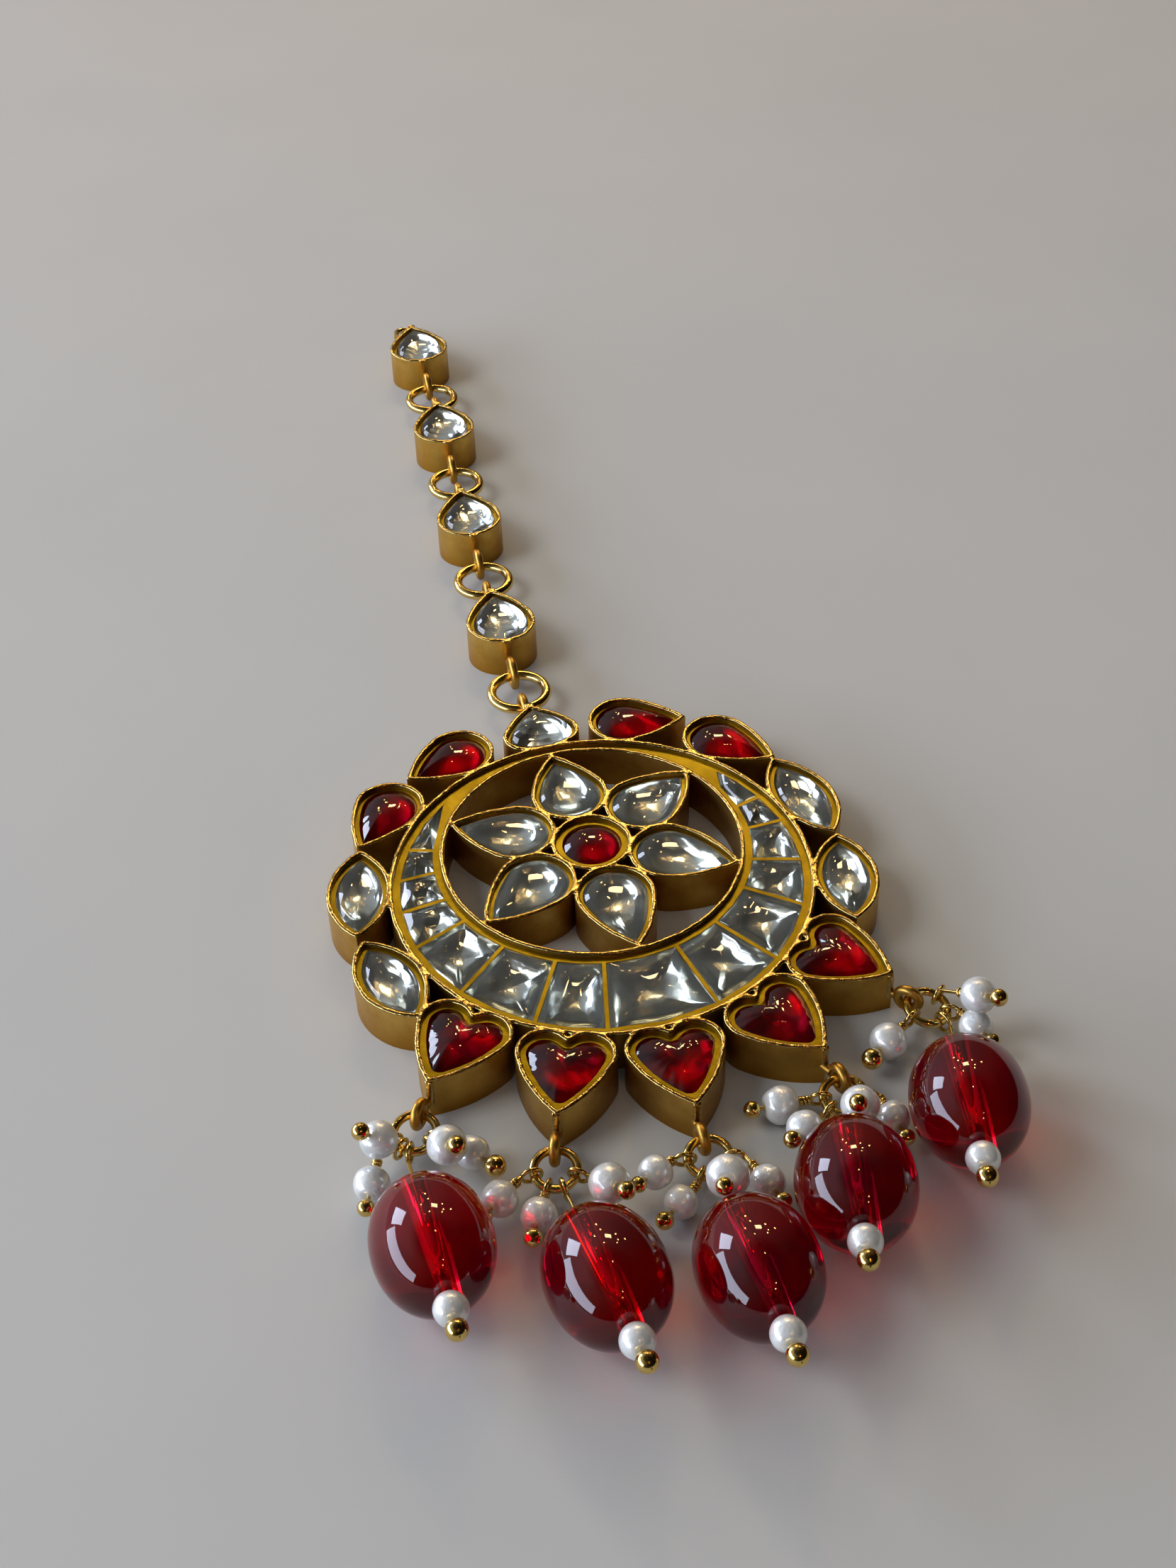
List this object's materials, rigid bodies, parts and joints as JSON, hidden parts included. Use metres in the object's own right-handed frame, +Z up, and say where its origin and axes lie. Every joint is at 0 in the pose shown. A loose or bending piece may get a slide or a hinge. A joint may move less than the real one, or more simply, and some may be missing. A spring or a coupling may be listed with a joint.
{
  "type": "maang tikka",
  "caption": "Forehead pendant of gold bezels round a stone crescent and flower, with oval glass drops, pearls and a chain of pear-shaped links, lying flat.",
  "frame": {"origin": "middle of the piece's footprint, on the surface that it lies on", "axes": "+Y along the chain away from the pendant, +Z up out of the pendant's face"},
  "size_m": [0.0546, 0.1666, 0.0097],
  "materials": {
    "antique_gold": "satin antique gold with burnished rims",
    "polished_gold": "polished gold wire",
    "clear_stone": "foil-backed clear cut stone",
    "ruby_glass": "foil-backed ruby-red cabochon",
    "bead_glass": "polished deep red glass",
    "pearl": "lustrous pearl"
  },
  "bodies": {
    "root": {"centre_ruby": "ruby_glass", "chain_link_1": "antique_gold", "chain_link_2": "antique_gold", "chain_link_3": "antique_gold", "chain_link_4": "antique_gold", "chain_ring_1": "polished_gold", "chain_ring_2": "polished_gold", "chain_ring_3": "polished_gold", "chain_ring_4": "polished_gold", "chain_stone_1": "clear_stone", "chain_stone_2": "clear_stone", "chain_stone_3": "clear_stone", "chain_stone_4": "clear_stone", "crescent_stones": "clear_stone", "drop_bead_1": "bead_glass", "drop_bead_2": "bead_glass", "drop_bead_3": "bead_glass", "drop_bead_4": "bead_glass", "drop_bead_5": "bead_glass", "drop_pearls_1": "pearl", "drop_pearls_2": "pearl", "drop_pearls_3": "pearl", "drop_pearls_4": "pearl", "drop_pearls_5": "pearl", "drop_pins_1": "polished_gold", "drop_pins_2": "polished_gold", "drop_pins_3": "polished_gold", "drop_pins_4": "polished_gold", "drop_pins_5": "polished_gold", "drop_ring_1": "polished_gold", "drop_ring_2": "polished_gold", "drop_ring_3": "polished_gold", "drop_ring_4": "polished_gold", "drop_ring_5": "polished_gold", "heart_ruby_1": "ruby_glass", "heart_ruby_2": "ruby_glass", "heart_ruby_3": "ruby_glass", "heart_ruby_4": "ruby_glass", "heart_ruby_5": "ruby_glass", "hook": "polished_gold", "marquise_stone_1": "clear_stone", "marquise_stone_2": "clear_stone", "marquise_stone_3": "clear_stone", "marquise_stone_4": "clear_stone", "pear_ruby_1": "ruby_glass", "pear_ruby_2": "ruby_glass", "pear_ruby_3": "ruby_glass", "pear_ruby_4": "ruby_glass", "pendant_frame": "antique_gold", "petal_stone_1": "clear_stone", "petal_stone_2": "clear_stone", "petal_stone_3": "clear_stone", "petal_stone_4": "clear_stone", "petal_stone_5": "clear_stone", "petal_stone_6": "clear_stone", "top_pear_stone": "clear_stone"}
  },
  "joints": []
}
